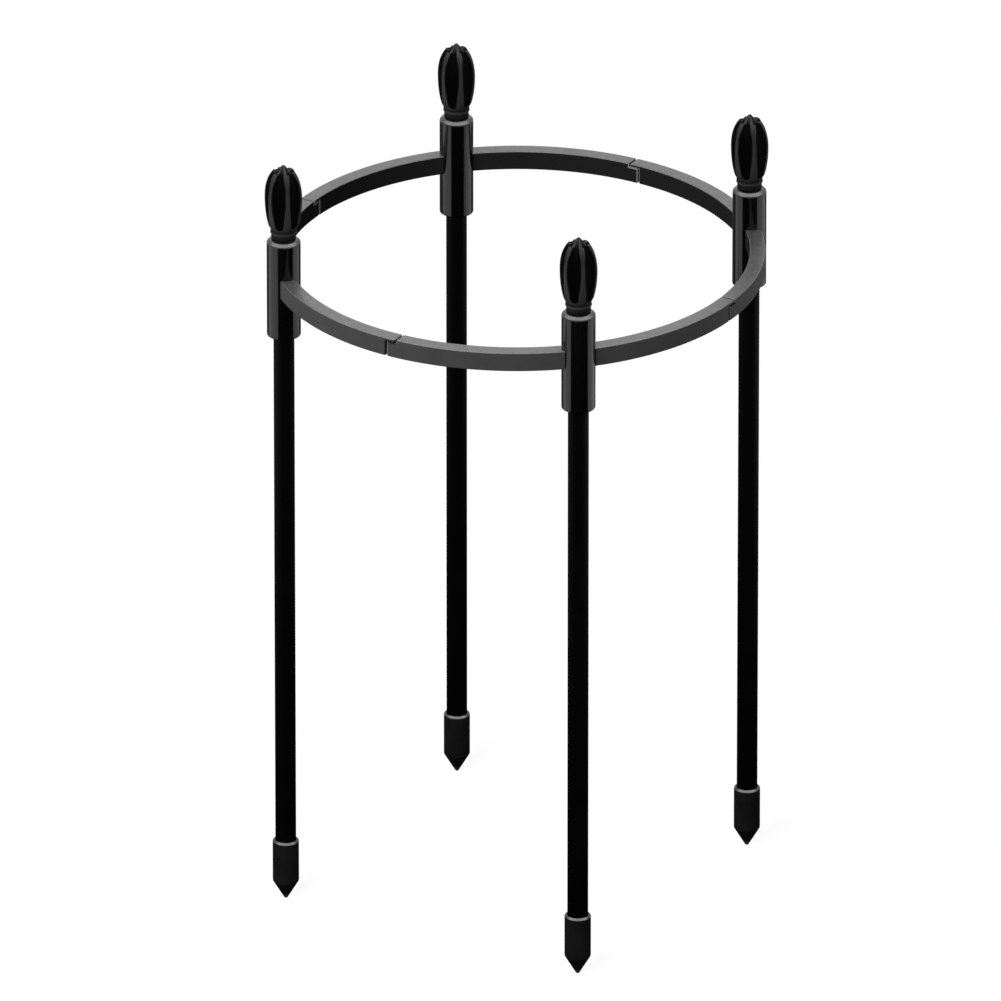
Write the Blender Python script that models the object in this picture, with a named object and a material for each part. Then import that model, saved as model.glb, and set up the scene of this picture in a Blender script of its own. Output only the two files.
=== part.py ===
"""Climbing plant support: a plastic ring carried on four coated steel stakes.

The ring is four like mouldings, each a quarter of the ring with a sleeve at its middle. Neighbours hook
together with a lap and a peg. A stake with a spike cap pushes up into each sleeve from below as far as
an inner stop, and a bud finial plugs into the sleeve from above.

Metres, +Z up. The spike tips stand at z = 0 and the ring's axis is the Z axis.
"""

import math

import bmesh
import bpy
from mathutils import Vector
from mathutils.geometry import interpolate_bezier

# The four posts, counterclockwise from +X as seen from above
COMPASS = ("east", "north", "west", "south")

# Gap left between pieces that touch or slide, on each side
CLEARANCE = 0.0003

# Most that a bevelled edge may take of the wall behind it
MOST_EDGE = 0.85

# Ring: radius of its centre line, which is also the circle of the posts, and its section
RING_RADIUS = 0.184
RING_WIDTH = 0.012
RING_HEIGHT = 0.015
RING_EDGE = 0.0008

# Lap joint between two ring quarters
LAP_LENGTH = 0.008
LAP_GAP = 0.0012
TONGUE_THICKNESS = 0.0025
PEG_DIAMETER = 0.0036
PEG_LENGTH = 0.006

# Sleeve of a ring quarter
SLEEVE_WALL = 0.0047
SLEEVE_TOP_EDGE = 0.0024
SLEEVE_FOOT_EDGE = 0.001
SLEEVE_ABOVE_RING = 0.030
STAKE_SOCKET_DEPTH = 0.047
STOP_THICKNESS = 0.004
STOP_BORE = 0.009

# Stake: a thin steel tube in a plastic coat
STAKE_DIAMETER = 0.016
STAKE_LENGTH = 0.505
COAT_THICKNESS = 0.0006
TUBE_WALL = 0.0008

# Spike cap on the foot of a stake
CAP_WALL = 0.00185
CAP_EDGE = 0.0015
CAP_LENGTH = 0.035
CAP_SOCKET_DEPTH = 0.030
SPIKE_LENGTH = 0.0153
SPIKE_TIP_DIAMETER = 0.0025

# Finial: a plug, a neck, a ribbed bud and a small cone at the tip, heights from the sleeve's top
PLUG_DIAMETER = 0.013
PLUG_LENGTH = 0.029
PLUG_EDGE = 0.001
NECK_DIAMETER = 0.0189
NECK_HEIGHT = 0.0050
COLLAR_DIAMETER = 0.0200
COLLAR_SLOPE = 0.0005
BUD_FOOT_DIAMETER = 0.0220
BUD_FOOT_HEIGHT = 0.0106
BUD_FOOT_OUT = 0.0015
BUD_FOOT_UP = 0.0020
BUD_DIAMETER = 0.0292
BUD_WIDEST_HEIGHT = 0.0343
PETAL_TOP_DIAMETER = 0.0172
PETAL_TOP_HEIGHT = 0.0560
PETAL_TOP_LIP = 0.0012
TIP_CONE_DIAMETER = 0.0124
TIP_POINT_DIAMETER = 0.0016
FINIAL_HEIGHT = 0.0612

# Flutes between the ribs of the bud
RIBS = 6
RIB_WIDTH = 0.0032
FLUTE_DEPTH = 0.0030
FLUTE_FOOT_SHARE = 0.62
FLUTE_STEEPNESS = 3

# Flats per turn, and along the arc of one ring quarter
ROUND_STEPS = 32
PEG_STEPS = 12
STEPS_PER_RIB = 8
ARC_STEPS = 24

# Points on each curved stretch of the bud's outline, and how full the curves are
OUTLINE_POINTS = 6
BUD_LOWER_FULLNESS = 0.42
BUD_UPPER_FULLNESS = 0.53
BUD_TOP_FULLNESS = 0.52
BUD_TOP_LEAN = 0.20

TURN = 2.0 * math.pi
MERGE_DISTANCE = 0.00001
CUT_MARGIN = 0.002

# Sizes that follow from the ones above
QUARTER = TURN / len(COMPASS)
STAKE_RADIUS = STAKE_DIAMETER / 2
STAKE_BORE_RADIUS = STAKE_RADIUS + CLEARANCE
SLEEVE_RADIUS = STAKE_BORE_RADIUS + SLEEVE_WALL
CAP_RADIUS = STAKE_BORE_RADIUS + CAP_WALL
PLUG_BORE_RADIUS = PLUG_DIAMETER / 2 + CLEARANCE
PLUG_SOCKET_DEPTH = PLUG_LENGTH + CLEARANCE

STAKE_FOOT_Z = SPIKE_LENGTH + CAP_LENGTH - CAP_SOCKET_DEPTH + CLEARANCE
STOP_Z = STAKE_FOOT_Z + STAKE_LENGTH + CLEARANCE
SLEEVE_FOOT_Z = STOP_Z - STAKE_SOCKET_DEPTH
PLUG_FLOOR_Z = STOP_Z + STOP_THICKNESS
SLEEVE_TOP_Z = PLUG_FLOOR_Z + PLUG_SOCKET_DEPTH
RING_TOP_Z = SLEEVE_TOP_Z - SLEEVE_ABOVE_RING
LAP_ANGLE = LAP_LENGTH / RING_RADIUS
GAP_ANGLE = LAP_GAP / RING_RADIUS


def clear_scene():
    """Remove whatever objects the scene starts with."""
    for thing in list(bpy.data.objects):
        bpy.data.objects.remove(thing, do_unlink=True)


def finish(name, grey, roughness, metallic=0.0):
    """A plain grey Principled finish."""
    material = bpy.data.materials.new(name)
    material.use_nodes = True
    shader = material.node_tree.nodes["Principled BSDF"]
    shader.inputs["Base Color"].default_value = (grey, grey, grey, 1.0)
    shader.inputs["Roughness"].default_value = roughness
    shader.inputs["Metallic"].default_value = metallic
    return material


def object_from(bm, name):
    """Turn a bmesh into an object at the origin, with its faces pointing out."""
    bmesh.ops.remove_doubles(bm, verts=bm.verts[:], dist=MERGE_DISTANCE)
    bmesh.ops.recalc_face_normals(bm, faces=bm.faces[:])
    mesh = bpy.data.meshes.new(name)
    bm.to_mesh(mesh)
    bm.free()
    thing = bpy.data.objects.new(name, mesh)
    bpy.context.scene.collection.objects.link(thing)
    return thing


def turned(name, outline, steps=ROUND_STEPS, hollow=False):
    """Spin an outline of (radius, height) points round the Z axis. A hollow outline closes on itself."""
    bm = bmesh.new()
    points = [bm.verts.new((radius, 0.0, height)) for radius, height in outline]
    lines = [bm.edges.new(pair) for pair in zip(points, points[1:])]
    if hollow:
        lines.append(bm.edges.new((points[-1], points[0])))
    bmesh.ops.spin(bm, geom=points + lines, cent=(0, 0, 0), axis=(0, 0, 1), angle=TURN, steps=steps,
                   use_merge=True)
    return object_from(bm, name)


def arc_bar(name, start, end, reach, low, high, edge, steps=ARC_STEPS):
    """Sweep a rectangle with chamfered edges round the ring's axis, to the same reach on each side of it."""
    corners = []
    for side, level, along_first in ((-1, low, True), (1, low, False), (1, high, True), (-1, high, False)):
        towards = 1 if level == low else -1
        flat = (RING_RADIUS + side * (reach - edge), level)
        upright = (RING_RADIUS + side * reach, level + towards * edge)
        corners += [upright, flat] if along_first else [flat, upright]
    if edge == 0.0:
        corners = corners[::2]
    bm = bmesh.new()
    ring_points = [bm.verts.new((radius * math.cos(start), radius * math.sin(start), height))
                   for radius, height in corners]
    section = bm.faces.new(ring_points)
    bmesh.ops.spin(bm, geom=[section], cent=(0, 0, 0), axis=(0, 0, 1), angle=end - start, steps=steps)
    return object_from(bm, name)


def post(name, radius, low, high, steps):
    """A plain round bar standing on the XY plane's origin between two heights."""
    return turned(name, [(0, low), (radius, low), (radius, high), (0, high)], steps)


def at_angle(thing, angle):
    """Stand a piece on the ring's centre line at an angle about the ring's axis."""
    thing.location = (RING_RADIUS * math.cos(angle), RING_RADIUS * math.sin(angle), 0)
    return thing


def combine(body, steps):
    """Join other solids to a body or cut them from it, in order, and keep the result as its mesh."""
    for operation, tool in steps:
        tool.hide_render = True
        tool.display_type = "WIRE"
        cut = body.modifiers.new(tool.name, "BOOLEAN")
        cut.operation = operation
        cut.solver = "EXACT"
        cut.object = tool
    shaped = body.evaluated_get(bpy.context.evaluated_depsgraph_get())
    mesh = bpy.data.meshes.new_from_object(shaped)
    mesh.name = body.name
    for thing in [body] + [tool for operation, tool in steps]:
        bpy.data.objects.remove(thing, do_unlink=True)
    return mesh


def mesh_of(thing):
    """Keep an object's mesh and remove the object."""
    mesh = thing.data
    bpy.data.objects.remove(thing, do_unlink=True)
    return mesh


def smooth(mesh, sharp_degrees=35.0):
    """Shade a round piece smooth, with its real edges kept sharp."""
    mesh.shade_smooth()
    mesh.set_sharp_from_angle(angle=math.radians(sharp_degrees))


def ring_quarter_mesh():
    """A quarter of the ring about the post at +X, with its sleeve. Heights from the ring's top face."""
    sleeve_top = SLEEVE_ABOVE_RING
    sleeve_foot = SLEEVE_FOOT_Z - RING_TOP_Z
    stop = STOP_Z - RING_TOP_Z
    plug_floor = PLUG_FLOOR_Z - RING_TOP_Z
    first_seam = -QUARTER / 2
    last_seam = QUARTER / 2
    half_lap = (LAP_ANGLE + GAP_ANGLE) / 2
    half_open = (LAP_ANGLE - GAP_ANGLE) / 2
    past = CUT_MARGIN / RING_RADIUS
    cutter_reach = RING_WIDTH / 2 + CUT_MARGIN
    ledge = -TONGUE_THICKNESS - CLEARANCE
    foot_edge = min(SLEEVE_FOOT_EDGE, SLEEVE_WALL * MOST_EDGE)
    top_edge = min(SLEEVE_TOP_EDGE, SLEEVE_WALL * MOST_EDGE)

    bar = arc_bar("ring_quarter", first_seam - half_open, last_seam + half_open, RING_WIDTH / 2,
                  -RING_HEIGHT, 0.0, RING_EDGE)
    under_tongue = arc_bar("under_tongue", last_seam - half_lap, last_seam + half_lap + past, cutter_reach,
                           -RING_HEIGHT - CUT_MARGIN, -TONGUE_THICKNESS, 0.0, 2)
    over_ledge = arc_bar("over_ledge", first_seam - half_lap - past, first_seam + half_lap, cutter_reach,
                         ledge, CUT_MARGIN, 0.0, 2)
    peg = at_angle(post("peg", PEG_DIAMETER / 2, -TONGUE_THICKNESS - PEG_LENGTH, -TONGUE_THICKNESS / 2,
                        PEG_STEPS), last_seam)
    peg_hole = at_angle(post("peg_hole", PEG_DIAMETER / 2 + CLEARANCE, ledge - PEG_LENGTH, CUT_MARGIN,
                             PEG_STEPS), first_seam)
    sleeve = at_angle(turned("sleeve", [
        (0, sleeve_foot), (SLEEVE_RADIUS - foot_edge, sleeve_foot), (SLEEVE_RADIUS, sleeve_foot + foot_edge),
        (SLEEVE_RADIUS, sleeve_top - top_edge), (SLEEVE_RADIUS - top_edge, sleeve_top), (0, sleeve_top),
    ]), 0.0)
    bores = at_angle(turned("bores", [
        (0, sleeve_foot - CUT_MARGIN), (STAKE_BORE_RADIUS, sleeve_foot - CUT_MARGIN),
        (STAKE_BORE_RADIUS, stop), (STOP_BORE / 2, stop), (STOP_BORE / 2, plug_floor),
        (PLUG_BORE_RADIUS, plug_floor), (PLUG_BORE_RADIUS, sleeve_top + CUT_MARGIN),
        (0, sleeve_top + CUT_MARGIN),
    ]), 0.0)
    mesh = combine(bar, [("DIFFERENCE", under_tongue), ("DIFFERENCE", over_ledge), ("UNION", peg),
                         ("DIFFERENCE", peg_hole), ("UNION", sleeve), ("DIFFERENCE", bores)])
    smooth(mesh)
    return mesh


def tube_mesh(name, radius, wall):
    """A length of tube as long as the stake, standing on z = 0."""
    bore = radius - wall
    mesh = mesh_of(turned(name, [(radius, 0), (radius, STAKE_LENGTH), (bore, STAKE_LENGTH), (bore, 0)],
                          hollow=True))
    smooth(mesh)
    return mesh


def spike_cap_mesh():
    """A socket that holds the foot of a stake, with a cone below it down to a blunt tip at z = 0."""
    top = SPIKE_LENGTH + CAP_LENGTH
    floor = top - CAP_SOCKET_DEPTH
    edge = min(CAP_EDGE, CAP_WALL * MOST_EDGE)
    mesh = mesh_of(turned("spike_cap", [
        (0, 0), (SPIKE_TIP_DIAMETER / 2, 0), (CAP_RADIUS, SPIKE_LENGTH), (CAP_RADIUS, top - edge),
        (CAP_RADIUS - edge, top), (STAKE_BORE_RADIUS, top), (STAKE_BORE_RADIUS, floor), (0, floor),
    ]))
    smooth(mesh)
    return mesh


def bud_outline():
    """The bud's outer curve, from its foot out to the widest place and in again to the petals' tops."""
    foot = Vector((BUD_FOOT_DIAMETER / 2, BUD_FOOT_HEIGHT))
    off_foot = foot + Vector((BUD_FOOT_OUT, BUD_FOOT_UP))
    widest = Vector((BUD_DIAMETER / 2, BUD_WIDEST_HEIGHT))
    top = Vector((PETAL_TOP_DIAMETER / 2, PETAL_TOP_HEIGHT))
    below = Vector((0, widest.y - foot.y))
    above = Vector((0, top.y - widest.y))
    into_top = Vector(((widest.x - top.x) * BUD_TOP_FULLNESS, -above.y * BUD_TOP_LEAN))
    lower = interpolate_bezier(foot, off_foot, widest - below * BUD_LOWER_FULLNESS, widest, OUTLINE_POINTS)
    upper = interpolate_bezier(widest, widest + above * BUD_UPPER_FULLNESS, top + into_top, top,
                               OUTLINE_POINTS)
    return [(point.x, point.y) for point in lower + upper[1:]]


def flute_depth(angle, radius, height):
    """How deep a flute is cut at an angle from a rib's middle. It runs out at the bud's foot and the tip."""
    rise = min(1.0, (height - BUD_FOOT_HEIGHT) / (BUD_WIDEST_HEIGHT - BUD_FOOT_HEIGHT))
    if rise <= 0.0:
        return 0.0
    fullness = math.sqrt(math.sin(rise * math.pi / 2)) if rise < 1.0 else 2 * radius / BUD_DIAMETER
    pitch = TURN / RIBS
    half_width = (pitch / 2 - RIB_WIDTH / BUD_DIAMETER) * (FLUTE_FOOT_SHARE + (1 - FLUTE_FOOT_SHARE) * rise)
    from_middle = abs((angle % pitch) - pitch / 2) / half_width
    return FLUTE_DEPTH * fullness * max(0.0, 1.0 - from_middle ** FLUTE_STEEPNESS)


def finial_mesh():
    """The finial on the Z axis. Its seat is one clearance above z = 0, the sleeve's top."""
    seat = CLEARANCE
    plug = PLUG_DIAMETER / 2
    neck = NECK_DIAMETER / 2
    collar = COLLAR_DIAMETER / 2
    edge = min(PLUG_EDGE, plug * MOST_EDGE)
    outline = [(0, seat - PLUG_LENGTH), (plug - edge, seat - PLUG_LENGTH), (plug, seat - PLUG_LENGTH + edge),
               (plug, seat), (neck, seat), (neck, seat + NECK_HEIGHT),
               (collar, seat + NECK_HEIGHT + COLLAR_SLOPE), (collar, seat + BUD_FOOT_HEIGHT - COLLAR_SLOPE)]
    outline += [(radius, seat + height) for radius, height in bud_outline()]
    outline += [(TIP_CONE_DIAMETER / 2, seat + PETAL_TOP_HEIGHT - PETAL_TOP_LIP),
                (TIP_POINT_DIAMETER / 2, seat + FINIAL_HEIGHT), (0, seat + FINIAL_HEIGHT)]
    thing = turned("finial", outline, RIBS * STEPS_PER_RIB)
    for vertex in thing.data.vertices:
        x, y, z = vertex.co
        radius = math.hypot(x, y)
        depth = flute_depth(math.atan2(x, y), radius, z - seat)
        if depth > 0.0:
            vertex.co = (x * (1 - depth / radius), y * (1 - depth / radius), z)
    mesh = mesh_of(thing)
    smooth(mesh)
    return mesh


def place(name, mesh, material, location, turn=0.0, parent=None):
    """Put one named piece in the scene."""
    if not mesh.materials:
        mesh.materials.append(material)
    thing = bpy.data.objects.new(name, mesh)
    thing.location = location
    thing.rotation_euler = (0, 0, turn)
    thing.parent = parent
    bpy.context.scene.collection.objects.link(thing)
    return thing


clear_scene()

ring_black = finish("ring_black", 0.030, 0.42)
finial_black = finish("finial_black", 0.022, 0.35)
coat_black = finish("coat_black", 0.012, 0.30)
cap_black = finish("cap_black", 0.016, 0.40)
tube_steel = finish("tube_steel", 0.55, 0.35, 1.0)

quarter_mesh = ring_quarter_mesh()
coat_mesh = tube_mesh("stake_coat", STAKE_RADIUS, COAT_THICKNESS)
steel_mesh = tube_mesh("stake_tube", STAKE_RADIUS - COAT_THICKNESS - CLEARANCE, TUBE_WALL)
cap_mesh = spike_cap_mesh()
bud_mesh = finial_mesh()

for number, side in enumerate(COMPASS):
    turn = number * QUARTER
    axis_x = RING_RADIUS * math.cos(turn)
    axis_y = RING_RADIUS * math.sin(turn)
    place("ring_quarter_" + side, quarter_mesh, ring_black, (0, 0, RING_TOP_Z), turn)
    place("finial_" + side, bud_mesh, finial_black, (axis_x, axis_y, SLEEVE_TOP_Z))
    leg = bpy.data.objects.new("leg_" + side, None)
    leg.location = (axis_x, axis_y, 0)
    bpy.context.scene.collection.objects.link(leg)
    place("stake_coat_" + side, coat_mesh, coat_black, (0, 0, STAKE_FOOT_Z), parent=leg)
    place("stake_tube_" + side, steel_mesh, tube_steel, (0, 0, STAKE_FOOT_Z), parent=leg)
    place("spike_cap_" + side, cap_mesh, cap_black, (0, 0, 0), parent=leg)
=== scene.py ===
import math

import bmesh
import bpy
from mathutils import Matrix, Vector
from mathutils.geometry import interpolate_bezier


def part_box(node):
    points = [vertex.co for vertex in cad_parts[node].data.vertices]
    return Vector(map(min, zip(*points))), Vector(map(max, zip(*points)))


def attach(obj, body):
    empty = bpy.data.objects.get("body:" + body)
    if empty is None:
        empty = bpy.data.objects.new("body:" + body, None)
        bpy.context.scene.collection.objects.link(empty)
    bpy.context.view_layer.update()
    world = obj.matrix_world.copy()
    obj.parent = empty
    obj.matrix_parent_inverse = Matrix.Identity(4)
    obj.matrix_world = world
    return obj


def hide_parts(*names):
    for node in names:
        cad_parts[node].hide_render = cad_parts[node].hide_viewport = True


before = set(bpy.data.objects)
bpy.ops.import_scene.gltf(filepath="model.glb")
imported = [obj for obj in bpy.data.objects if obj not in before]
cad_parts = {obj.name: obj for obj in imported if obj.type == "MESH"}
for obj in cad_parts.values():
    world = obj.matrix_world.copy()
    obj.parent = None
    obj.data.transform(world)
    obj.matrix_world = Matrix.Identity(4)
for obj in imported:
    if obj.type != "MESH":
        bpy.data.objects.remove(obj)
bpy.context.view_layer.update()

# The view of the standing support, from the left of its south post and from well above the ring.
# A long lens far away keeps the four stakes upright and parallel. The ring's middle is put on its own pixel
# of the square picture.
CAMERA_AZIMUTH = math.radians(-14.65)
CAMERA_ELEVATION = math.radians(25.3)
LENS_MM = 1000.0
SENSOR_MM = 36.0
PICTURE_PIXELS = 1001
METRES_PER_PIXEL = 0.00076444
RING_CENTRE_PIXEL = (517.0, 248.6)
SLEEVE_ABOVE_RING = 0.030
CAMERA_REACH = 100.0

sleeve_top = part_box("ring_quarter_east")[1].z
ring_top = sleeve_top - SLEEVE_ABOVE_RING
towards_camera = Vector((math.sin(CAMERA_AZIMUTH) * math.cos(CAMERA_ELEVATION),
                         -math.cos(CAMERA_AZIMUTH) * math.cos(CAMERA_ELEVATION),
                         math.sin(CAMERA_ELEVATION)))
picture_right = Vector((math.cos(CAMERA_AZIMUTH), math.sin(CAMERA_AZIMUTH), 0.0))
picture_up = towards_camera.cross(picture_right)
view_width = PICTURE_PIXELS * METRES_PER_PIXEL
view_distance = view_width * LENS_MM / SENSOR_MM
off_right = (RING_CENTRE_PIXEL[0] - PICTURE_PIXELS / 2) * METRES_PER_PIXEL
off_up = (PICTURE_PIXELS / 2 - RING_CENTRE_PIXEL[1]) * METRES_PER_PIXEL
aim = Vector((0.0, 0.0, ring_top)) - off_right * picture_right - off_up * picture_up

camera_data = bpy.data.cameras.new("view")
camera_data.lens = LENS_MM
camera_data.sensor_width = SENSOR_MM
camera_data.clip_end = CAMERA_REACH
camera = bpy.data.objects.new("view", camera_data)
camera.matrix_world = Matrix((picture_right, picture_up, towards_camera)).transposed().to_4x4()
camera.location = aim + view_distance * towards_camera
bpy.context.scene.collection.objects.link(camera)
bpy.context.scene.camera = camera
bpy.context.scene.view_settings.view_transform = "Standard"

# Four steel tubes, the cores of the stakes. Each is thin strip, rolled up and welded along its length, and
# cut off square. It stays bare, because the plastic coat goes over it. The CAD solids are kept as they are.
SIDES = ("east", "north", "west", "south")
TURN = 2.0 * math.pi
STEEL_DARK = (0.36, 0.36, 0.37, 1.0)
STEEL_LIGHT = (0.62, 0.62, 0.63, 1.0)
MIX_A, MIX_B, MIX_RESULT = 6, 7, 2


class Wire:
    """An output socket in a finish. Arithmetic on it adds Math nodes to the finish."""

    def __init__(self, tree, socket=None):
        self.tree = tree
        self.socket = socket

    def node(self, kind, settings, inputs, output=0):
        """Add a node, with its settings first and then a value or a link for each socket named."""
        made = self.tree.nodes.new(kind)
        for name, value in settings.items():
            setattr(made, name, value)
        for key, value in inputs.items():
            if isinstance(value, Wire):
                self.tree.links.new(value.socket, made.inputs[key])
            else:
                made.inputs[key].default_value = value
        return Wire(self.tree, made.outputs[output] if made.outputs else None)

    def maths(self, operation, *values):
        return self.node("ShaderNodeMath", {"operation": operation}, dict(enumerate(values)))

    def __add__(self, other):
        return self.maths("ADD", self, other)

    __radd__ = __add__

    def __sub__(self, other):
        return self.maths("SUBTRACT", self, other)

    def __rsub__(self, other):
        return self.maths("SUBTRACT", other, self)

    def __mul__(self, other):
        return self.maths("MULTIPLY", self, other)

    __rmul__ = __mul__

    def __abs__(self):
        return self.maths("ABSOLUTE", self)


def new_finish(name):
    """An empty material and its Object coordinates."""
    material = bpy.data.materials.new(name)
    material.use_nodes = True
    material.node_tree.nodes.clear()
    place = Wire(material.node_tree).node("ShaderNodeTexCoord", {}, {}, "Object")
    return material, place


def part_of(place, axis):
    """The X, Y or Z of a place, for axis 0, 1 or 2."""
    return place.node("ShaderNodeSeparateXYZ", {}, {0: place}, axis)


def mixed(factor, colour_a, colour_b):
    inputs = {0: factor, MIX_A: colour_a, MIX_B: colour_b}
    return factor.node("ShaderNodeMix", {"data_type": "RGBA"}, inputs, MIX_RESULT)


def mixed_value(factor, value_a, value_b):
    return value_a * (1.0 - factor) + value_b * factor


def stretched(place, stretch):
    return place.node("ShaderNodeVectorMath", {"operation": "MULTIPLY"}, {0: place, 1: stretch})


def cloudy(place, scale, detail=2.0):
    """Soft noise about a middle value of one half."""
    return place.node("ShaderNodeTexNoise", {}, {"Vector": place, "Scale": scale, "Detail": detail})


def between(value, low, high):
    """Nought where the value is at low and one where it is at high, with a smooth change between."""
    return value.node("ShaderNodeMapRange", {"interpolation_type": "SMOOTHSTEP"},
                      {"Value": value, "From Min": low, "From Max": high})


def bumped(height, strength, distance):
    return height.node("ShaderNodeBump", {}, {"Height": height, "Strength": strength, "Distance": distance})


def principled(place, **sockets):
    """A Principled BSDF. A keyword names a socket, with _ for a space."""
    inputs = {name.replace("_", " "): value for name, value in sockets.items()}
    return place.node("ShaderNodeBsdfPrincipled", {}, inputs)


def surfaced(material, shader):
    """The finish, once its shader is on the surface."""
    shader.node("ShaderNodeOutputMaterial", {}, {"Surface": shader})
    return material


def steel_finish():
    material, place = new_finish("bare_tube_steel")
    drawn = cloudy(stretched(place, (900.0, 900.0, 12.0)), 1.0)
    tarnish = cloudy(place, 90.0, 4.0)
    shader = principled(
        place,
        Base_Color=mixed(between(drawn * 0.5 + tarnish * 0.5, 0.3, 0.7), STEEL_DARK, STEEL_LIGHT),
        Metallic=1.0,
        Roughness=0.28 + 0.2 * tarnish,
        Normal=bumped(drawn, 0.3, 0.0001),
    )
    return surfaced(material, shader)


steel = steel_finish()
for side in SIDES:
    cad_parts["stake_tube_" + side].material_slots[0].material = steel


# Four plastic coats, drawn tight over the tubes in a long extruder run and cut to length with them. The
# plastic is the blackest on the support, smooth with faint lengthwise drawing lines, and barely shines.
COAT_ROUND_STEPS = 72
COAT_THICKNESS = 0.0006
COAT_EDGE = 0.00015
COAT_BLACK = (0.0004, 0.0004, 0.0004, 1.0)
COAT_RUBBED = (0.0009, 0.0009, 0.0009, 1.0)
EDGE_SEGMENTS = 4
SHARP_ANGLE = math.radians(40.0)
TINY = 0.00001


def turned(corners, steps):
    """Spin a closed outline of (radius, height, rounding) corners round the Z axis."""
    bm = bmesh.new()
    points = [bm.verts.new((radius, 0.0, height)) for radius, height, rounding in corners]
    bm.faces.new(points)
    for point, (radius, height, rounding) in zip(points, corners):
        if rounding:
            bmesh.ops.bevel(bm, geom=[point], offset=rounding, segments=EDGE_SEGMENTS, profile=0.5,
                            affect="VERTICES", material=-1)
    bmesh.ops.delete(bm, geom=bm.faces[:], context="FACES_ONLY")
    on_axis = [edge for edge in bm.edges if max(abs(point.co.x) for point in edge.verts) < TINY]
    bmesh.ops.delete(bm, geom=on_axis, context="EDGES")
    bmesh.ops.spin(bm, geom=bm.verts[:] + bm.edges[:], cent=(0, 0, 0), axis=(0, 0, 1), angle=TURN,
                   steps=steps, use_merge=True)
    closed_up(bm)
    return bm


def closed_up(bm):
    bmesh.ops.remove_doubles(bm, verts=bm.verts[:], dist=TINY)
    bmesh.ops.recalc_face_normals(bm, faces=bm.faces[:])


def post_axis(node):
    """Where a round node's own upright axis stands."""
    low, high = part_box(node)
    return Vector(((low.x + high.x) / 2, (low.y + high.y) / 2, 0.0))


def fitted(bm, name, node, body, finish):
    """Make a finished piece from a bmesh, in place of one CAD node and riding with its body."""
    mesh = bpy.data.meshes.new(name)
    bm.to_mesh(mesh)
    bm.free()
    mesh.shade_smooth()
    mesh.set_sharp_from_angle(angle=SHARP_ANGLE)
    mesh.materials.append(finish)
    piece = bpy.data.objects.new(name, mesh)
    bpy.context.scene.collection.objects.link(piece)
    flats = piece.modifiers.new("flats", "WEIGHTED_NORMAL")
    flats.keep_sharp = True
    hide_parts(node)
    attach(piece, body)


def fitted_on_posts(bm, name, node, body, finish):
    """Put a copy of a piece made on the Z axis on each post, and fit it there. The names lack the side."""
    for side in SIDES:
        copy = bm.copy()
        bmesh.ops.translate(copy, verts=copy.verts[:], vec=post_axis(node + side))
        fitted(copy, name + side, node + side, body + side, finish)
    bm.free()


def coat_finish():
    material, place = new_finish("drawn_stake_coat")
    drawn = cloudy(stretched(place, (700.0, 700.0, 5.0)), 1.0)
    handled = cloudy(place, 28.0, 3.0)
    shader = principled(
        place,
        Base_Color=mixed(between(handled, 0.45, 0.75), COAT_BLACK, COAT_RUBBED),
        Roughness=0.36 + 0.14 * handled,
        Specular_IOR_Level=0.04,
        Normal=bumped(drawn, 0.15, 0.00005),
    )
    return surfaced(material, shader)


coat_low, coat_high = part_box("stake_coat_east")
coat_radius = (coat_high.y - coat_low.y) / 2
coat_bore = coat_radius - COAT_THICKNESS
coat = turned([(coat_bore, coat_low.z, COAT_EDGE), (coat_radius, coat_low.z, COAT_EDGE),
               (coat_radius, coat_high.z, COAT_EDGE), (coat_bore, coat_high.z, COAT_EDGE)],
              COAT_ROUND_STEPS)
fitted_on_posts(coat, "drawn_coat_", "stake_coat_", "leg_", coat_finish())


# Four spike caps, each moulded in one piece and pushed on the foot of its stake. The socket's rim is
# rounded and rubbed to a soft sheen, and the cone below runs down to a blunt tip that the gate left.
CAP_ROUND_STEPS = 72
CAP_RIM = 0.0015
CAP_SHEEN_FADE = 1.2
CAP_RIM_EDGE = 0.0003
CAP_SHOULDER_EDGE = 0.0006
CAP_TIP_EDGE = 0.0003
CAP_BORE_EDGE = 0.0002
SPIKE_LENGTH = 0.0153
SPIKE_TIP_RADIUS = 0.00125
CAP_SOCKET_DEPTH = 0.030
BORE_CLEARANCE = 0.0003
CAP_BLACK = (0.0062, 0.0062, 0.0063, 1.0)
CAP_GREY = (0.0084, 0.0084, 0.0085, 1.0)


def shader_mix(factor, shader_a, shader_b):
    return factor.node("ShaderNodeMixShader", {}, {0: factor, 1: shader_a, 2: shader_b})


def cap_finish(rim_top):
    material, place = new_finish("moulded_spike_cap")
    z = part_of(place, 2)
    grain = cloudy(place, 2600.0)
    flow = cloudy(place, 60.0, 3.0)
    on_rim = between(z, rim_top - CAP_SHEEN_FADE * CAP_RIM, rim_top - CAP_RIM)
    matt = principled(
        place,
        Base_Color=mixed(between(flow, 0.35, 0.65), CAP_BLACK, CAP_GREY),
        Roughness=0.5 + 0.2 * flow,
        Specular_IOR_Level=0.05,
        Normal=bumped(grain, 0.25, 0.0001),
    )
    rubbed = principled(
        place,
        Base_Color=mixed(flow, CAP_BLACK, CAP_GREY),
        Roughness=0.22 + 0.15 * flow,
        Specular_IOR_Level=0.5,
    )
    return surfaced(material, shader_mix(on_rim, matt, rubbed))


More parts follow.
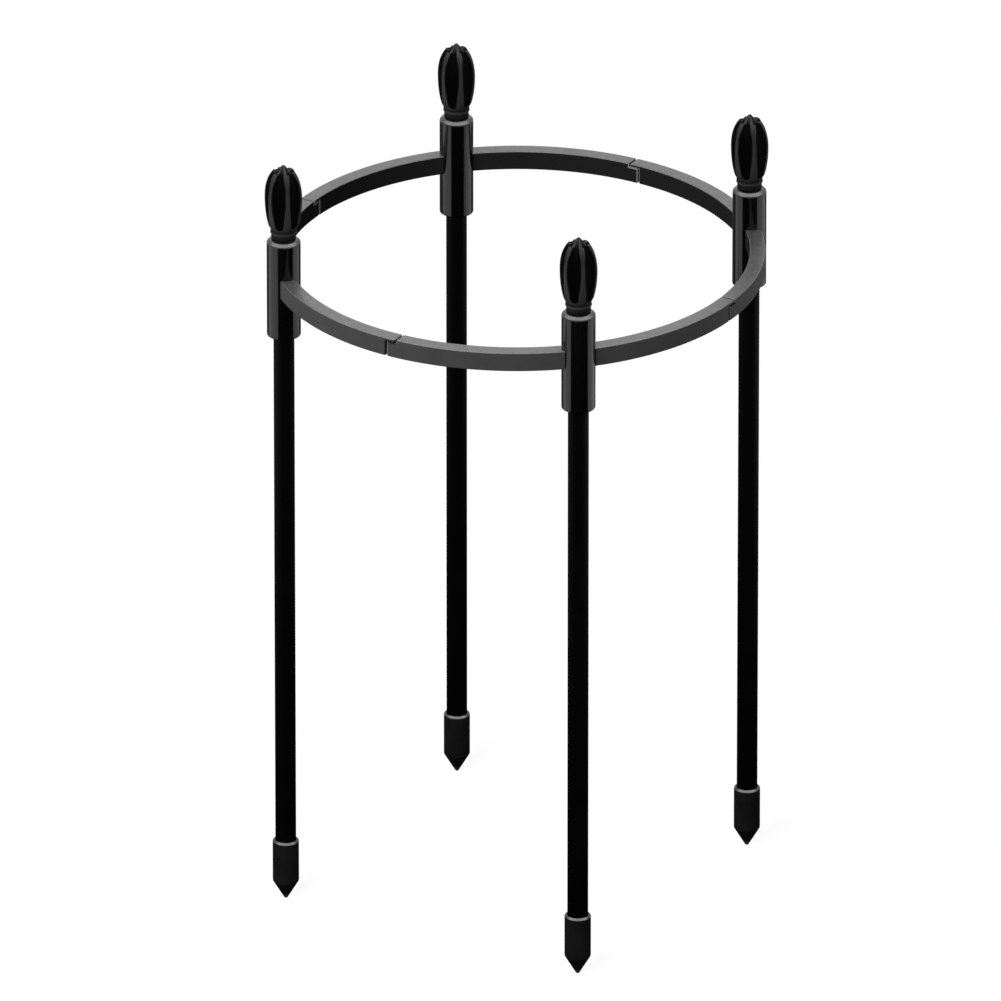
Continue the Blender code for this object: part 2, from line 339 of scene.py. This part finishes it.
cap_low, cap_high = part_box("spike_cap_east")
cap_radius = (cap_high.y - cap_low.y) / 2
stake_bore = coat_radius + BORE_CLEARANCE
cap_floor = cap_high.z - CAP_SOCKET_DEPTH
cap = turned([(0.0, 0.0, 0.0), (SPIKE_TIP_RADIUS, 0.0, CAP_TIP_EDGE),
              (cap_radius, SPIKE_LENGTH, CAP_SHOULDER_EDGE),
              (cap_radius, cap_high.z - CAP_RIM, CAP_RIM_EDGE), (cap_radius - CAP_RIM, cap_high.z, 0.0),
              (stake_bore, cap_high.z, CAP_BORE_EDGE), (stake_bore, cap_floor, 0.0),
              (0.0, cap_floor, 0.0)],
             CAP_ROUND_STEPS)
fitted_on_posts(cap, "moulded_cap_", "spike_cap_", "leg_", cap_finish(cap_high.z))


# Four like quarters of the ring, each moulded in one with its sleeve. The bar is satin on top and matt
# outside, and duller inside, where it is also painted darker as shade. The sleeve is polished, and its rim
# is painted paler as a highlight. Each tongue lies on the next quarter's ledge, held by a peg. The laps'
# rounded edges are painted pale as highlights inside and at the ledge, and black as shade outside in the
# seams.
RING_RADIUS = 0.184
RING_WIDTH = 0.012
RING_HEIGHT = 0.015
RING_EDGE = 0.0008
LAP_LENGTH = 0.008
TONGUE_THICKNESS = 0.0025
LAP_GAP = 0.0012
LAP_EDGE = 0.0011
LAP_EDGE_SEGMENTS = 3
LAP_SHARP_ANGLE = math.radians(60.0)
PEG_RADIUS = 0.0018
PEG_LENGTH = 0.006
PEG_EDGE = 0.0004
SLEEVE_TOP_EDGE = 0.0024
SLEEVE_TOP_ROUND = 0.0007
SLEEVE_FOOT_EDGE = 0.0010
BORE_EDGE = 0.0004
STAKE_SOCKET_DEPTH = 0.047
STOP_THICKNESS = 0.004
STOP_BORE_RADIUS = 0.0045
PLUG_BORE_RADIUS = 0.0068
ARC_STEPS = 112
TONGUE_STEPS = 5
SLEEVE_ROUND_STEPS = 96
PEG_ROUND_STEPS = 32
PAST = 0.002
SQUARE_ON = 0.999
FLAT_ON = 0.99
ASLANT = 0.1
SPLIT_REACH = 1.5
FINISH_STARTS = 0.0006
FINISH_FULL = 0.0002
TOP_FINISH_STARTS = 0.7
TOP_FINISH_FULL = 0.2
RIM_FADE = 0.0004
BAR_SATIN = (0.034, 0.034, 0.035, 1.0)
BAR_SCUFFED = (0.060, 0.060, 0.061, 1.0)
BAR_MATT = (0.038, 0.038, 0.039, 1.0)
BAR_MATT_PALE = (0.044, 0.044, 0.045, 1.0)
# A painted shade: the darker colour of the bar's inner faces.
BAR_INSIDE_SHADE = (0.0135, 0.0135, 0.0135, 1.0)
# Painted shade and painted highlight on the laps' rounded edges, and the mark values that choose them.
LAP_PAINTED_SHADE = (0.012, 0.012, 0.012, 1.0)
LAP_PAINTED_HIGHLIGHT = (0.21, 0.21, 0.21, 1.0)
LAP_SHADE_MARK = 0.5
LAP_HIGHLIGHT_MARK = 1.0
SLEEVE_POLISHED = (0.0010, 0.0010, 0.0010, 1.0)
# A painted highlight: the paler colour of the sleeve's rim.
RIM_PAINTED_HIGHLIGHT = (0.006, 0.006, 0.006, 1.0)

quarter_turn = TURN / len(SIDES)
half_lap = (LAP_LENGTH + LAP_GAP) / 2 / RING_RADIUS
half_open = (LAP_LENGTH - LAP_GAP) / 2 / RING_RADIUS
sleeve_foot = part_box("ring_quarter_east")[0].z
sleeve_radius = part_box("ring_quarter_east")[1].x - RING_RADIUS
stop_low = sleeve_foot + STAKE_SOCKET_DEPTH
tongue_low = ring_top - TONGUE_THICKNESS
ledge_top = tongue_low - BORE_CLEARANCE


def bar_end(bm, angle):
    """The end face of the bar that stands at an angle about the ring's axis."""
    across = Vector((-math.sin(angle), math.cos(angle), 0.0))
    return [face for face in bm.faces
            if abs(face.normal.dot(across)) > SQUARE_ON
            and abs(face.calc_center_median().dot(across)) < TINY]


def lap(bm, end, split_z, keep_upper, reach):
    """Carry the upper or the lower part of the bar's end face on round the ring, as a tongue or a ledge."""
    face = bar_end(bm, end)
    lines = face[0].edges[:]
    corners = face[0].verts[:]
    bmesh.ops.bisect_plane(bm, geom=face + lines + corners, dist=TINY, plane_co=(0, 0, split_z),
                           plane_no=(0, 0, 1))
    part = [face for face in bar_end(bm, end) if (face.calc_center_median().z > split_z) == keep_upper]
    bmesh.ops.spin(bm, geom=part, cent=(0, 0, 0), axis=(0, 0, 1), angle=reach, steps=TONGUE_STEPS)
    bmesh.ops.delete(bm, geom=part, context="FACES_ONLY")
    bmesh.ops.remove_doubles(bm, verts=bm.verts[:], dist=TINY)


def bar_mesh():
    """The bar of one quarter about the post at +X, with its tongue and its ledge."""
    inner = RING_RADIUS - RING_WIDTH / 2
    outer = RING_RADIUS + RING_WIDTH / 2
    start = -quarter_turn / 2 + half_lap
    end = quarter_turn / 2 - half_lap
    bm = bmesh.new()
    section = [bm.verts.new((radius, 0.0, height)) for radius, height in
               ((inner, ring_top - RING_HEIGHT), (outer, ring_top - RING_HEIGHT), (outer, ring_top),
                (inner, ring_top))]
    bm.faces.new(section)
    bmesh.ops.bevel(bm, geom=section, offset=RING_EDGE, segments=EDGE_SEGMENTS, profile=0.5,
                    affect="VERTICES", material=-1)
    bmesh.ops.rotate(bm, verts=bm.verts[:], cent=(0, 0, 0), matrix=Matrix.Rotation(start, 3, "Z"))
    bmesh.ops.spin(bm, geom=bm.faces[:], cent=(0, 0, 0), axis=(0, 0, 1), angle=end - start, steps=ARC_STEPS)
    closed_up(bm)
    lap(bm, end, tongue_low, True, half_lap + half_open)
    lap(bm, start, ledge_top, False, -half_lap - half_open)
    bmesh.ops.recalc_face_normals(bm, faces=bm.faces[:])
    sharp = [edge for edge in bm.edges if edge.calc_face_angle(0.0) > LAP_SHARP_ANGLE]
    bmesh.ops.bevel(bm, geom=sharp, offset=LAP_EDGE, segments=LAP_EDGE_SEGMENTS, profile=0.5,
                    affect="EDGES", material=-1, clamp_overlap=True)
    return bm


def cutter(bm, name, angle=0.0):
    """Stand a bmesh on the ring's centre line at an angle and make it an object for a Boolean."""
    spot = (RING_RADIUS * math.cos(angle), RING_RADIUS * math.sin(angle), 0.0)
    bmesh.ops.translate(bm, verts=bm.verts[:], vec=spot)
    mesh = bpy.data.meshes.new(name)
    bm.to_mesh(mesh)
    bm.free()
    thing = bpy.data.objects.new(name, mesh)
    bpy.context.scene.collection.objects.link(thing)
    return thing


def quarter_mesh():
    """One whole quarter about the post at +X: bar, sleeve and peg joined, bores and peg hole cut."""
    bar_bm = bar_mesh()
    bar = bpy.data.meshes.new("quarter")
    bar_bm.to_mesh(bar)
    bar_bm.free()
    whole = bpy.data.objects.new("quarter", bar)
    bpy.context.scene.collection.objects.link(whole)
    plug_floor = stop_low + STOP_THICKNESS
    sleeve = turned([(0.0, sleeve_foot, 0.0), (sleeve_radius, sleeve_foot, SLEEVE_FOOT_EDGE),
                     (sleeve_radius, sleeve_top - SLEEVE_TOP_EDGE, SLEEVE_TOP_ROUND),
                     (sleeve_radius - SLEEVE_TOP_EDGE, sleeve_top, SLEEVE_TOP_ROUND),
                     (0.0, sleeve_top, 0.0)],
                    SLEEVE_ROUND_STEPS)
    stake_bore_flare = stake_bore + BORE_EDGE
    plug_bore_flare = PLUG_BORE_RADIUS + BORE_EDGE
    bores = turned([(0.0, sleeve_foot - PAST, 0.0), (stake_bore_flare, sleeve_foot - PAST, 0.0),
                    (stake_bore_flare, sleeve_foot, 0.0), (stake_bore, sleeve_foot + BORE_EDGE, 0.0),
                    (stake_bore, stop_low, 0.0), (STOP_BORE_RADIUS, stop_low, 0.0),
                    (STOP_BORE_RADIUS, plug_floor, 0.0), (PLUG_BORE_RADIUS, plug_floor, 0.0),
                    (PLUG_BORE_RADIUS, sleeve_top - BORE_EDGE, 0.0), (plug_bore_flare, sleeve_top, 0.0),
                    (plug_bore_flare, sleeve_top + PAST, 0.0), (0.0, sleeve_top + PAST, 0.0)],
                   SLEEVE_ROUND_STEPS)
    peg = turned([(0.0, tongue_low - PEG_LENGTH, 0.0), (PEG_RADIUS, tongue_low - PEG_LENGTH, PEG_EDGE),
                  (PEG_RADIUS, ring_top - TONGUE_THICKNESS / 2, 0.0),
                  (0.0, ring_top - TONGUE_THICKNESS / 2, 0.0)], PEG_ROUND_STEPS)
    hole_radius = PEG_RADIUS + BORE_CLEARANCE
    peg_hole = turned([(0.0, ledge_top - PEG_LENGTH, 0.0), (hole_radius, ledge_top - PEG_LENGTH, 0.0),
                       (hole_radius, ring_top, 0.0), (0.0, ring_top, 0.0)], PEG_ROUND_STEPS)
    steps = (("UNION", cutter(peg, "peg", quarter_turn / 2)),
             ("DIFFERENCE", cutter(peg_hole, "peg_hole", -quarter_turn / 2)),
             ("UNION", cutter(sleeve, "sleeve")), ("DIFFERENCE", cutter(bores, "bores")))
    for operation, tool in steps:
        cut = whole.modifiers.new(tool.name, "BOOLEAN")
        cut.operation = operation
        cut.solver = "EXACT"
        cut.object = tool
    shaped = whole.evaluated_get(bpy.context.evaluated_depsgraph_get())
    bm = bmesh.new()
    bm.from_mesh(shaped.to_mesh())
    shaped.to_mesh_clear()
    for thing in [whole] + [tool for operation, tool in steps]:
        bpy.data.objects.remove(thing, do_unlink=True)
    bmesh.ops.remove_doubles(bm, verts=bm.verts[:], dist=TINY / 10)
    mark_lap_edges(bm)
    return bm


def mark_lap_edges(bm):
    """Mark the laps' rounded edges: painted pale as highlights inside and at the ledge, and painted black
    as shade outside.
    """
    mark = bm.faces.layers.float.new("lap_edge")
    near_lap = quarter_turn / 2 - half_lap - 2 * LAP_EDGE / RING_RADIUS
    for face in bm.faces:
        spot = face.calc_center_median()
        outward = Vector((spot.x, spot.y, 0.0)).normalized()
        out = face.normal.dot(outward)
        onward = face.normal.dot(Vector((-outward.y, outward.x, 0.0)))
        rounded = max(abs(out), abs(onward), abs(face.normal.z)) < FLAT_ON and abs(out) > ASLANT
        at_split = abs(spot.z - tongue_low) < SPLIT_REACH * LAP_EDGE
        if abs(math.atan2(spot.y, spot.x)) > near_lap and rounded and (abs(onward) > ASLANT or at_split):
            face[mark] = LAP_HIGHLIGHT_MARK if out < 0.0 or onward < -ASLANT else LAP_SHADE_MARK


def ring_finish():
    material, place = new_finish("moulded_ring")
    x, y, z = (part_of(place, axis) for axis in range(3))
    grain = cloudy(place, 2200.0)
    flow = cloudy(place, 45.0, 4.0)
    scuffs = between(cloudy(place, 210.0, 3.0), 0.35, 0.7)
    from_axis = x.maths("SQRT", x * x + y * y)
    along = x.maths("MAXIMUM", abs(x), abs(y)) - RING_RADIUS
    aside = x.maths("MINIMUM", abs(x), abs(y))
    from_post = x.maths("SQRT", along * along + aside * aside)
    bar_inside = RING_RADIUS - RING_WIDTH / 2
    on_sleeve = between(from_post, sleeve_radius + FINISH_STARTS, sleeve_radius + FINISH_FULL)
    inside = between(from_axis, bar_inside + FINISH_STARTS, bar_inside + FINISH_FULL)
    on_top = between(z, ring_top - TOP_FINISH_STARTS * RING_EDGE, ring_top - TOP_FINISH_FULL * RING_EDGE)
    satin = principled(
        place,
        Base_Color=mixed(scuffs, BAR_SATIN, BAR_SCUFFED),
        Roughness=0.34 + 0.14 * flow,
        Specular_IOR_Level=0.5,
        Normal=bumped(grain, 0.2, 0.0001),
    )
    matt = principled(
        place,
        Base_Color=mixed(between(flow, 0.3, 0.7), BAR_MATT, BAR_MATT_PALE),
        Roughness=0.5 + 0.1 * flow,
        Specular_IOR_Level=0.20,
        Normal=bumped(grain, 0.25, 0.0001),
    )
    # Painted shade: the bar's inner faces get a darker colour than the outer ones, and less shine.
    painted_dark = principled(
        place,
        Base_Color=BAR_INSIDE_SHADE,
        Roughness=0.6 + 0.1 * flow,
        Specular_IOR_Level=0.005,
        Normal=bumped(grain, 0.3, 0.0001),
    )
    # Painted highlight: the sleeve's rim gets a paler colour than the polished sleeve, and a rougher
    # finish.
    rim_foot = sleeve_top - SLEEVE_TOP_EDGE
    on_rim = between(z, rim_foot - RIM_FADE, rim_foot + RIM_FADE)
    polished = principled(
        place,
        Base_Color=mixed(on_rim, SLEEVE_POLISHED, RIM_PAINTED_HIGHLIGHT),
        Roughness=mixed_value(on_rim, 0.10 + 0.06 * flow, 0.34 + 0.1 * flow),
        Specular_IOR_Level=0.5,
    )
    # Painted light in the seams: the laps' rounded edges are pale highlights inside and at the ledge, and
    # black shade outside.
    edge = place.node("ShaderNodeAttribute", {"attribute_name": "lap_edge"}, {}, "Fac")
    lap_edges = principled(
        place,
        Base_Color=mixed(between(edge, LAP_SHADE_MARK, LAP_HIGHLIGHT_MARK), LAP_PAINTED_SHADE, LAP_PAINTED_HIGHLIGHT),
        Roughness=0.5 + 0.1 * flow,
        Specular_IOR_Level=0.02,
        Normal=bumped(grain, 0.25, 0.0001),
    )
    sides = shader_mix(inside, matt, painted_dark)
    bar = shader_mix(between(edge, 0.0, LAP_SHADE_MARK), shader_mix(on_top, sides, satin), lap_edges)
    return surfaced(material, shader_mix(on_sleeve, bar, polished))


quarter = quarter_mesh()
ring_black = ring_finish()
for number, side in enumerate(SIDES):
    copy = quarter.copy()
    bmesh.ops.rotate(copy, verts=copy.verts[:], cent=(0, 0, 0),
                     matrix=Matrix.Rotation(number * quarter_turn, 3, "Z"))
    fitted(copy, "moulded_quarter_" + side, "ring_quarter_" + side, "ring", ring_black)
quarter.free()


# Four finials, each moulded in one: a plug that presses into the sleeve, a neck, and a bud with six slim
# ribs, deep broad flutes between them and a small cone at the tip. The ribs shine a little, the flutes not.
# The flutes, the neck and the collar are painted near black as shade, and the ribs darker towards the top.
FINIAL_ROUND_STEPS = 192
OUTLINE_POINTS = 56
PLUG_RADIUS = 0.0065
PLUG_EDGE = 0.001
NECK_RADIUS = 0.00945
NECK_HEIGHT = 0.0050
NECK_FOOT_EDGE = 0.0003
COLLAR_RADIUS = 0.0100
COLLAR_SLOPE = 0.0005
BEAD_RADIUS = 0.0103
BEAD_EDGE = 0.0002
BUD_FOOT_RADIUS = 0.0110
BUD_FOOT_HEIGHT = 0.0106
BUD_FOOT_OUT = 0.0015
BUD_FOOT_UP = 0.0020
BUD_RADIUS = 0.0146
BUD_WIDEST_HEIGHT = 0.0343
PETAL_TOP_RADIUS = 0.0086
PETAL_TOP_HEIGHT = 0.0560
PETAL_TOP_LIP = 0.0012
TIP_CONE_RADIUS = 0.0062
TIP_POINT_RADIUS = 0.0008
TIP_EDGE = 0.0003
BUD_LOWER_FULLNESS = 0.42
BUD_UPPER_FULLNESS = 0.53
BUD_TOP_FULLNESS = 0.52
BUD_TOP_LEAN = 0.20
RIBS = 6
RIB_WIDTH = 0.0025
FLUTE_DEPTH = 0.0030
FLUTE_FOOT_SHARE = 0.66
FLUTE_FOOT_ROUND = 0.0026
FLUTE_TOP_SHARE = 0.70
FLUTE_TOP_HEIGHT = 0.0440
FLUTE_STEEPNESS = 4
FLUTE_MARGIN = 0.35
FLUTE_SHARE_OF_STEPS = 0.75
# How much painted shade the neck and the collar get, from nought to one.
NECK_PAINTED_SHADE = 0.93
NECK_TOP_PAINTED_SHADE = 0.58
COLLAR_PAINTED_SHADE = 0.88
COLLAR_EDGE_PAINTED_SHADE = 0.05
RIB_BLACK = (0.024, 0.024, 0.0243, 1.0)
RIB_GREY = (0.031, 0.031, 0.0314, 1.0)
# A painted shade: the ribs' darker colour towards the top, and where it fades in.
RIB_TOP_PAINTED_SHADE = (0.012, 0.012, 0.0122, 1.0)
RIB_TOP_SHADE_HEIGHTS = (0.030, 0.052)
# The near-black colour of the finial's painted shade.
FINIAL_SHADE_BLACK = (0.0003, 0.0003, 0.0003, 1.0)

finial_low, finial_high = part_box("finial_east")
finial_seat = sleeve_top + BORE_CLEARANCE
collar_middle = (NECK_HEIGHT + BUD_FOOT_HEIGHT + COLLAR_SLOPE) / 2


def bud_outline():
    """The bud's outer curve, from its foot out to the widest place and in again to the petals' tops."""
    foot = Vector((BUD_FOOT_RADIUS, BUD_FOOT_HEIGHT))
    off_foot = foot + Vector((BUD_FOOT_OUT, BUD_FOOT_UP))
    widest = Vector((BUD_RADIUS, BUD_WIDEST_HEIGHT))
    top = Vector((PETAL_TOP_RADIUS, PETAL_TOP_HEIGHT))
    below = Vector((0.0, widest.y - foot.y))
    above = Vector((0.0, top.y - widest.y))
    into_top = Vector(((widest.x - top.x) * BUD_TOP_FULLNESS, -above.y * BUD_TOP_LEAN))
    lower = interpolate_bezier(foot, off_foot, widest - below * BUD_LOWER_FULLNESS, widest, OUTLINE_POINTS)
    upper = interpolate_bezier(widest, widest + above * BUD_UPPER_FULLNESS, top + into_top, top,
                               OUTLINE_POINTS)
    return [(point.x, finial_seat + point.y, 0.0) for point in lower + upper[1:]]


def smoothly(share):
    """A share, kept between nought and one, with a soft start and end."""
    share = min(1.0, max(0.0, share))
    return share * share * (3.0 - 2.0 * share)


def flute_half_width(height):
    """Half the angle between a flute's two edges, at a height above the finial's seat."""
    above_foot = height - BUD_FOOT_HEIGHT
    rise = above_foot / (BUD_WIDEST_HEIGHT - BUD_FOOT_HEIGHT)
    foot_round = math.sqrt(max(0.0, 1.0 - max(0.0, 1.0 - above_foot / FLUTE_FOOT_ROUND) ** 2))
    widest = TURN / RIBS / 2 - RIB_WIDTH / (2 * BUD_RADIUS)
    closing = smoothly((height - FLUTE_TOP_HEIGHT) / (PETAL_TOP_HEIGHT - FLUTE_TOP_HEIGHT))
    foot_share = FLUTE_FOOT_SHARE + (1.0 - FLUTE_FOOT_SHARE) * smoothly(rise)
    top_share = 1.0 - (1.0 - FLUTE_TOP_SHARE) * closing
    return widest * foot_round * foot_share * top_share


def foot_painted_shade(radius, height):
    """How much painted shade the neck and the collar get: most at the neck's foot and half way up the
    collar.
    """
    if radius < NECK_RADIUS + TINY:
        return NECK_PAINTED_SHADE if height < NECK_HEIGHT - TINY else NECK_TOP_PAINTED_SHADE
    if radius > COLLAR_RADIUS + TINY:
        return 0.0
    return COLLAR_PAINTED_SHADE if abs(height - collar_middle) < TINY else COLLAR_EDGE_PAINTED_SHADE


def flute(angle, radius, height):
    """The angle to move a point of the bud to, the flute's depth there and how much painted shade the
    finial gets.
    """
    above_foot = height - BUD_FOOT_HEIGHT
    if above_foot < TINY:
        return angle, 0.0, foot_painted_shade(radius, height)
    half_pitch = TURN / RIBS / 2
    middle = (math.floor(angle / (2 * half_pitch)) + 0.5) * 2 * half_pitch
    off_middle = (angle - middle) / half_pitch
    across = abs(off_middle) / FLUTE_SHARE_OF_STEPS
    half_width = flute_half_width(height)
    moved = half_width * across
    if across > 1.0:
        beyond = (abs(off_middle) - FLUTE_SHARE_OF_STEPS) / (1.0 - FLUTE_SHARE_OF_STEPS)
        moved = half_width + beyond * (half_pitch - half_width)
    share = max(0.0, 1.0 - across ** FLUTE_STEEPNESS)
    rise = min(1.0, above_foot / (BUD_WIDEST_HEIGHT - BUD_FOOT_HEIGHT))
    fullness = math.sqrt(math.sin(rise * math.pi / 2)) if rise < 1.0 else radius / BUD_RADIUS
    tip = finial_high.z - finial_seat
    # Painted shade in the flutes, fading out towards the tip.
    painted_dark = smoothly(share / FLUTE_MARGIN) * smoothly((tip - height) / (tip - PETAL_TOP_HEIGHT))
    return middle + math.copysign(moved, off_middle), FLUTE_DEPTH * fullness * share, painted_dark


def finial_mesh():
    """The finial on the Z axis."""
    neck_top = finial_seat + NECK_HEIGHT
    bud_foot = finial_seat + BUD_FOOT_HEIGHT
    corners = [(0.0, finial_low.z, 0.0), (PLUG_RADIUS, finial_low.z, PLUG_EDGE),
               (PLUG_RADIUS, finial_seat, 0.0), (NECK_RADIUS, finial_seat, NECK_FOOT_EDGE),
               (NECK_RADIUS, neck_top, 0.0), (BEAD_RADIUS, neck_top + COLLAR_SLOPE, BEAD_EDGE),
               (COLLAR_RADIUS, neck_top + 2 * COLLAR_SLOPE, 0.0),
               (COLLAR_RADIUS, finial_seat + collar_middle, 0.0),
               (COLLAR_RADIUS, bud_foot - COLLAR_SLOPE, 0.0)]
    corners += bud_outline()
    corners += [(TIP_CONE_RADIUS, finial_seat + PETAL_TOP_HEIGHT - PETAL_TOP_LIP, 0.0),
                (TIP_POINT_RADIUS, finial_high.z, TIP_EDGE), (0.0, finial_high.z, 0.0)]
    bm = turned(corners, FINIAL_ROUND_STEPS)
    # Each vertex keeps its share of painted shade in an attribute.
    painted_shade = bm.verts.layers.float.new("painted_shade")
    for vertex in bm.verts:
        x, y, z = vertex.co
        radius = math.hypot(x, y)
        if radius > TINY:
            angle, depth, vertex[painted_shade] = flute(math.atan2(x, y), radius, z - finial_seat)
            vertex.co = ((radius - depth) * math.sin(angle), (radius - depth) * math.cos(angle), z)
    return bm


def finial_finish():
    material, place = new_finish("moulded_finial")
    z = part_of(place, 2)
    painted_shade = place.node("ShaderNodeAttribute", {"attribute_name": "painted_shade"}, {}, "Fac")
    flow = cloudy(place, 150.0, 3.0)
    grain = cloudy(place, 2600.0)
    # Painted shade: the ribs' colour darkens towards the top.
    top_shade = between(z, finial_seat + RIB_TOP_SHADE_HEIGHTS[0], finial_seat + RIB_TOP_SHADE_HEIGHTS[1])
    ribs = principled(
        place,
        Base_Color=mixed(top_shade, mixed(flow, RIB_BLACK, RIB_GREY), RIB_TOP_PAINTED_SHADE),
        Roughness=0.40 + 0.12 * flow,
        Specular_IOR_Level=0.12,
        Normal=bumped(grain, 0.15, 0.0001),
    )
    # Painted shade: the flutes, the neck and the collar get a near-black colour and little shine.
    flutes = principled(
        place,
        Base_Color=FINIAL_SHADE_BLACK,
        Roughness=0.6 + 0.1 * flow,
        Specular_IOR_Level=0.02,
        Normal=bumped(grain, 0.3, 0.0001),
    )
    return surfaced(material, shader_mix(painted_shade, ribs, flutes))


fitted_on_posts(finial_mesh(), "moulded_finial_", "finial_", "finial_", finial_finish())


# The studio: a plain pale floor, an even pale room, one broad soft lamp at the left front, and soft lamps
# above and behind for the rims and the ring's top. Dark cards lie on the floor, seen only in reflections.
FLOOR_SIZE = 12.0
FLOOR_GREY = (0.25, 0.25, 0.25, 1.0)
ROOM_WHITE = (1.0, 1.0, 1.0, 1.0)
ROOM_LEVEL = 0.15
FLOOR_GLOW = 0.9
GLOW_LEVEL = 1.05
MAT_RADIUS = 0.80
MAT_ROUND_STEPS = 96
CARD_NEAR = 0.75
CARD_FAR = 1.65
CARD_HEIGHT = 0.002
FRONT_CARD = (math.radians(-45.0), math.radians(60.0))
BACK_CARD = (math.radians(128.0), math.radians(246.0))
CARD_BLACK = (0.001, 0.001, 0.001, 1.0)
CARD_GREY = (0.16, 0.16, 0.16, 1.0)
CARD_STEPS = 24
KEY_AZIMUTH = math.radians(-48.0)
KEY_ELEVATION = math.radians(35.0)
KEY_DISTANCE = 2.4
KEY_SIZE = (1.4, 1.4)
KEY_WATTS = 66.0
TOP_LEAN = 0.2
TOP_DISTANCE = 1.3
TOP_SIZE = (4.6, 1.8)
TOP_WATTS = 150.0
BACK_DISTANCE = 2.6
BACK_SIZE = (2.6, 1.6)
BACK_WATTS = 13.0


def seen_straight_or_mirrored(wire):
    """One for rays from the camera or from a mirror or glass, and nought for soft light."""
    rays = [wire.node("ShaderNodeLightPath", {}, {}, name)
            for name in ("Is Camera Ray", "Is Glossy Ray", "Is Transmission Ray")]
    return rays[0].maths("MAXIMUM", rays[0], rays[0].maths("MAXIMUM", rays[1], rays[2]))


def floor_finish():
    material, place = new_finish("pale_floor")
    seen = seen_straight_or_mirrored(place)
    plain = place.node("ShaderNodeBsdfDiffuse", {}, {"Color": FLOOR_GREY})
    shaded = place.node("ShaderNodeBsdfDiffuse", {}, {"Color": ROOM_WHITE})
    glow = place.node("ShaderNodeEmission", {}, {"Color": ROOM_WHITE, "Strength": GLOW_LEVEL})
    shown = place.node("ShaderNodeMixShader", {}, {0: FLOOR_GLOW, 1: shaded, 2: glow})
    return surfaced(material, shader_mix(seen, plain, shown))


def card_finish(name, colour):
    material, place = new_finish(name)
    return surfaced(material, place.node("ShaderNodeBsdfDiffuse", {}, {"Color": colour}))


def staged(bm, name, finish):
    mesh = bpy.data.meshes.new(name)
    bm.to_mesh(mesh)
    bm.free()
    mesh.materials.append(finish)
    thing = bpy.data.objects.new(name, mesh)
    bpy.context.scene.collection.objects.link(thing)
    return thing


def dark_card(bm, name, colour):
    """A card that only reflections show."""
    card = staged(bm, name, card_finish(name, colour))
    card.visible_camera = False
    card.visible_diffuse = False
    card.visible_shadow = False


def ring_of_card(first, last):
    """Part of a flat ring round the support, between two azimuths from the camera's."""
    bm = bmesh.new()
    ends = [bm.verts.new((0.0, -distance, CARD_HEIGHT)) for distance in (CARD_NEAR, CARD_FAR)]
    line = bm.edges.new(ends)
    bmesh.ops.rotate(bm, verts=bm.verts[:], cent=(0, 0, 0),
                     matrix=Matrix.Rotation(CAMERA_AZIMUTH + first, 3, "Z"))
    bmesh.ops.spin(bm, geom=ends + [line], cent=(0, 0, 0), axis=(0, 0, 1), angle=last - first,
                   steps=CARD_STEPS)
    return bm


def soft_lamp(name, away, size, watts):
    """A lamp that stands away from the ring's centre and faces it."""
    lamp_data = bpy.data.lights.new(name, "AREA")
    lamp_data.shape = "RECTANGLE"
    lamp_data.size = size[0]
    lamp_data.size_y = size[1]
    lamp_data.energy = watts
    lamp = bpy.data.objects.new(name, lamp_data)
    lamp.location = Vector((0.0, 0.0, ring_top)) + away
    lamp.rotation_euler = (-away).to_track_quat("-Z", "Y").to_euler()
    lamp.visible_camera = False
    bpy.context.scene.collection.objects.link(lamp)
    return lamp


floor = bmesh.new()
bmesh.ops.create_grid(floor, x_segments=1, y_segments=1, size=FLOOR_SIZE / 2)
staged(floor, "floor", floor_finish())

mat = bmesh.new()
bmesh.ops.create_circle(mat, cap_ends=True, radius=MAT_RADIUS, segments=MAT_ROUND_STEPS)
bmesh.ops.translate(mat, verts=mat.verts[:], vec=(0, 0, 2 * CARD_HEIGHT))
dark_card(mat, "dark_mat", CARD_BLACK)
dark_card(ring_of_card(*FRONT_CARD), "front_card", CARD_BLACK)
dark_card(ring_of_card(*BACK_CARD), "back_card", CARD_GREY)

flat_away = Vector((-towards_camera.x, -towards_camera.y, towards_camera.z))
to_key = Vector((math.sin(KEY_AZIMUTH) * math.cos(KEY_ELEVATION),
                 -math.cos(KEY_AZIMUTH) * math.cos(KEY_ELEVATION),
                 math.sin(KEY_ELEVATION)))
over_front = Vector((TOP_LEAN * towards_camera.x, TOP_LEAN * towards_camera.y, 1.0)).normalized()
soft_lamp("back_lamp", BACK_DISTANCE * flat_away, BACK_SIZE, BACK_WATTS)
top_lamp = soft_lamp("top_lamp", TOP_DISTANCE * over_front, TOP_SIZE, TOP_WATTS)
top_lamp.visible_diffuse = False
key_lamp = soft_lamp("key_lamp", KEY_DISTANCE * to_key, KEY_SIZE, KEY_WATTS)
key_lamp.visible_glossy = False

world = bpy.data.worlds.new("room")
bpy.context.scene.world = world
world.use_nodes = True
world.node_tree.nodes.clear()
room = Wire(world.node_tree)
seen = seen_straight_or_mirrored(room)
level = seen * (1.0 - ROOM_LEVEL) + ROOM_LEVEL
background = room.node("ShaderNodeBackground", {}, {"Color": ROOM_WHITE, "Strength": level})
room.node("ShaderNodeOutputWorld", {}, {"Surface": background})
